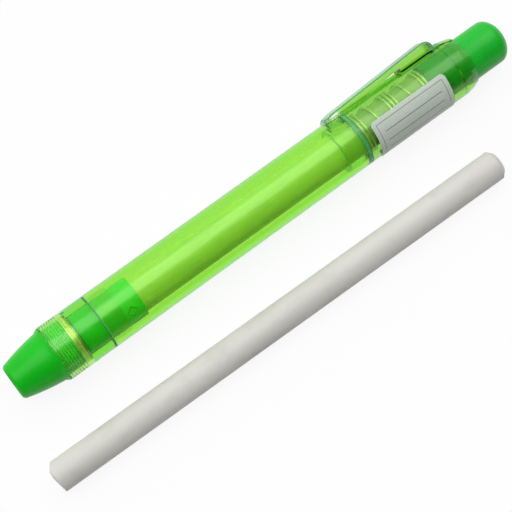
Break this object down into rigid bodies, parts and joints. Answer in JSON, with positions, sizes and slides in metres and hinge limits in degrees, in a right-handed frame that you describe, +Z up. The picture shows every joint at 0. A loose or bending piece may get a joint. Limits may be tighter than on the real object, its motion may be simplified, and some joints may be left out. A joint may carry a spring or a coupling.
{
  "type": "pencil eraser stick",
  "caption": "Click eraser with a clear body, clutch chuck, return spring, push knob, screw-on nose and pocket clip, lying beside a loose eraser refill.",
  "frame": {"origin": "on the table, under the middle of the whole part's box (holder and loose refill together)", "axes": "+X along the holder's axis from the nose to the knob, +Z up, -Y towards the loose refill"},
  "size_m": [0.1304, 0.0334, 0.0125],
  "materials": {
    "nose_green": "opaque moulded plastic, glossy",
    "knob_green": "opaque moulded plastic, glossy",
    "collar_lime": "clear tinted plastic, glossy",
    "barrel_lime": "clear tinted plastic, glossy",
    "sleeve_lime": "clear tinted plastic, glossy",
    "chuck_green": "moulded plastic, satin",
    "tube_frosted": "thin frosted plastic",
    "gripper_rubber": "soft rubber",
    "ring_brass": "turned brass",
    "spring_steel": "bright drawn wire",
    "eraser_vinyl": "matt white vinyl",
    "spare_vinyl": "matt off-white vinyl",
    "label_paper": "plain paper label"
  },
  "bodies": {
    "holder": {"barrel": "barrel_lime", "front_collar": "collar_lime", "clutch_ring": "ring_brass", "rear_sleeve": "sleeve_lime", "return_spring": "spring_steel", "sticker": "label_paper", "spare_refill": "spare_vinyl"},
    "plunger": {"push_knob": "knob_green", "carrier_tube": "tube_frosted", "chuck": "chuck_green"},
    "eraser_rod": {"eraser": "eraser_vinyl"},
    "gripper": {"nose_gripper": "gripper_rubber"},
    "nose": {"nose_cone": "nose_green"}
  },
  "joints": [
    {"name": "knob_press", "type": "slide", "parent": "holder", "child": "plunger", "axis": [-1, 0, 0], "range_m": [0, 0.003], "stiffness_N_per_m": 400, "springref_m": -0.003, "deforming": ["return_spring"]},
    {"name": "eraser_feed", "type": "slide", "parent": "plunger", "child": "eraser_rod", "axis": [-1, 0, 0], "range_m": [0, 0.097]},
    {"name": "nose_travel", "type": "slide", "parent": "holder", "child": "gripper", "axis": [-1, 0, 0], "range_m": [0, 0.0042]},
    {"name": "nose_unscrew", "type": "hinge", "parent": "gripper", "child": "nose", "pos_m": [-0.05571, 0.00819, 0.00625], "axis": [-1, 0, 0], "range_deg": [0, 2520]}
  ],
  "couplings": [
    {"joint": "nose_unscrew", "follows": "nose_travel", "rad_per_m": 10472}
  ]
}
